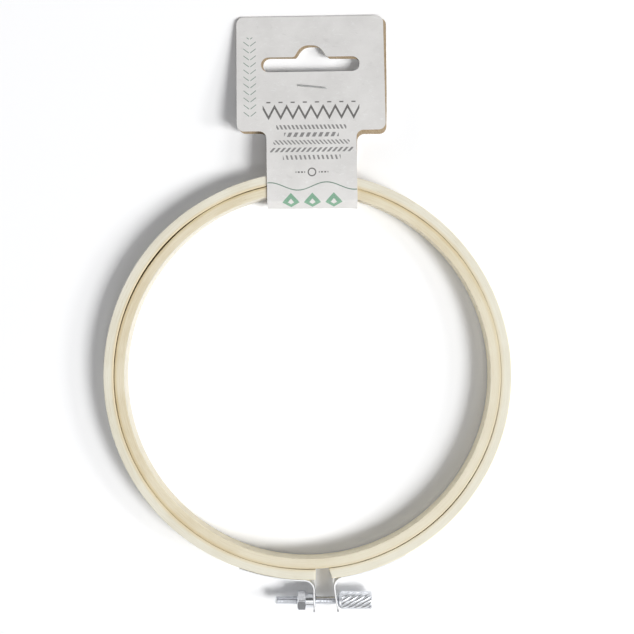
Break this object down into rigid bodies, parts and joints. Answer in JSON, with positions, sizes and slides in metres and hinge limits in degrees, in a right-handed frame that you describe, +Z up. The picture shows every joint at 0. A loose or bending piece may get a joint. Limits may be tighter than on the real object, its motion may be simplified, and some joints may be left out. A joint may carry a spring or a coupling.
{
  "type": "embroidery hoop",
  "caption": "Round wooden embroidery hoop with a closed inner ring, a split outer ring drawn together by a knurled thumb screw, and a folded, stapled hang card",
  "frame": {"origin": "on the hoop's axis, on the surface that the hoop lies on, which is the underside of the hang card's back layer", "axes": "+Z up along the hoop's axis, out of the fabric's side; +Y from the screw clamp to the hang card; +X towards the thumb screw's head"},
  "size_m": [0.1372, 0.2029, 0.0095],
  "materials": {
    "inner_bamboo": "sanded, bare",
    "outer_bamboo": "sanded, bare",
    "zinc_plate": "bright zinc plate",
    "nickel_plate": "bright plate",
    "paperboard": "matte printed card",
    "staple_wire": "galvanised wire"
  },
  "bodies": {
    "outer_ring_right": {"outer_ring_right": "outer_bamboo", "right_bracket": "zinc_plate", "right_outer_brad": "zinc_plate", "right_inner_brad": "zinc_plate", "hang_card": "paperboard", "card_staple": "staple_wire"},
    "outer_ring_left": {"outer_ring_left": "outer_bamboo", "left_bracket": "zinc_plate", "left_outer_brad": "zinc_plate", "left_inner_brad": "zinc_plate", "shoulder_nut": "nickel_plate"},
    "thumb_screw": {"thumb_screw": "nickel_plate"},
    "inner_ring": {"inner_ring": "inner_bamboo"}
  },
  "joints": [
    {"name": "thumb_screw_turn", "type": "hinge", "parent": "outer_ring_right", "child": "thumb_screw", "pos_m": [0.0098, -0.0762, 0.00475], "axis": [1, 0, 0], "range_deg": [0, 4320]},
    {"name": "ring_spread", "type": "hinge", "parent": "outer_ring_right", "child": "outer_ring_left", "pos_m": [-0.00335, 0.06852, 0.00475], "axis": [0, 0, -1], "range_deg": [0, 2.38]},
    {"name": "inner_ring_lift", "type": "slide", "parent": "outer_ring_right", "child": "inner_ring", "axis": [0, 0, 1], "range_m": [0, 0.009], "deforming": ["hang_card"]}
  ],
  "couplings": [
    {"joint": "ring_spread", "follows": "thumb_screw_turn", "ratio": 0.00054988}
  ]
}
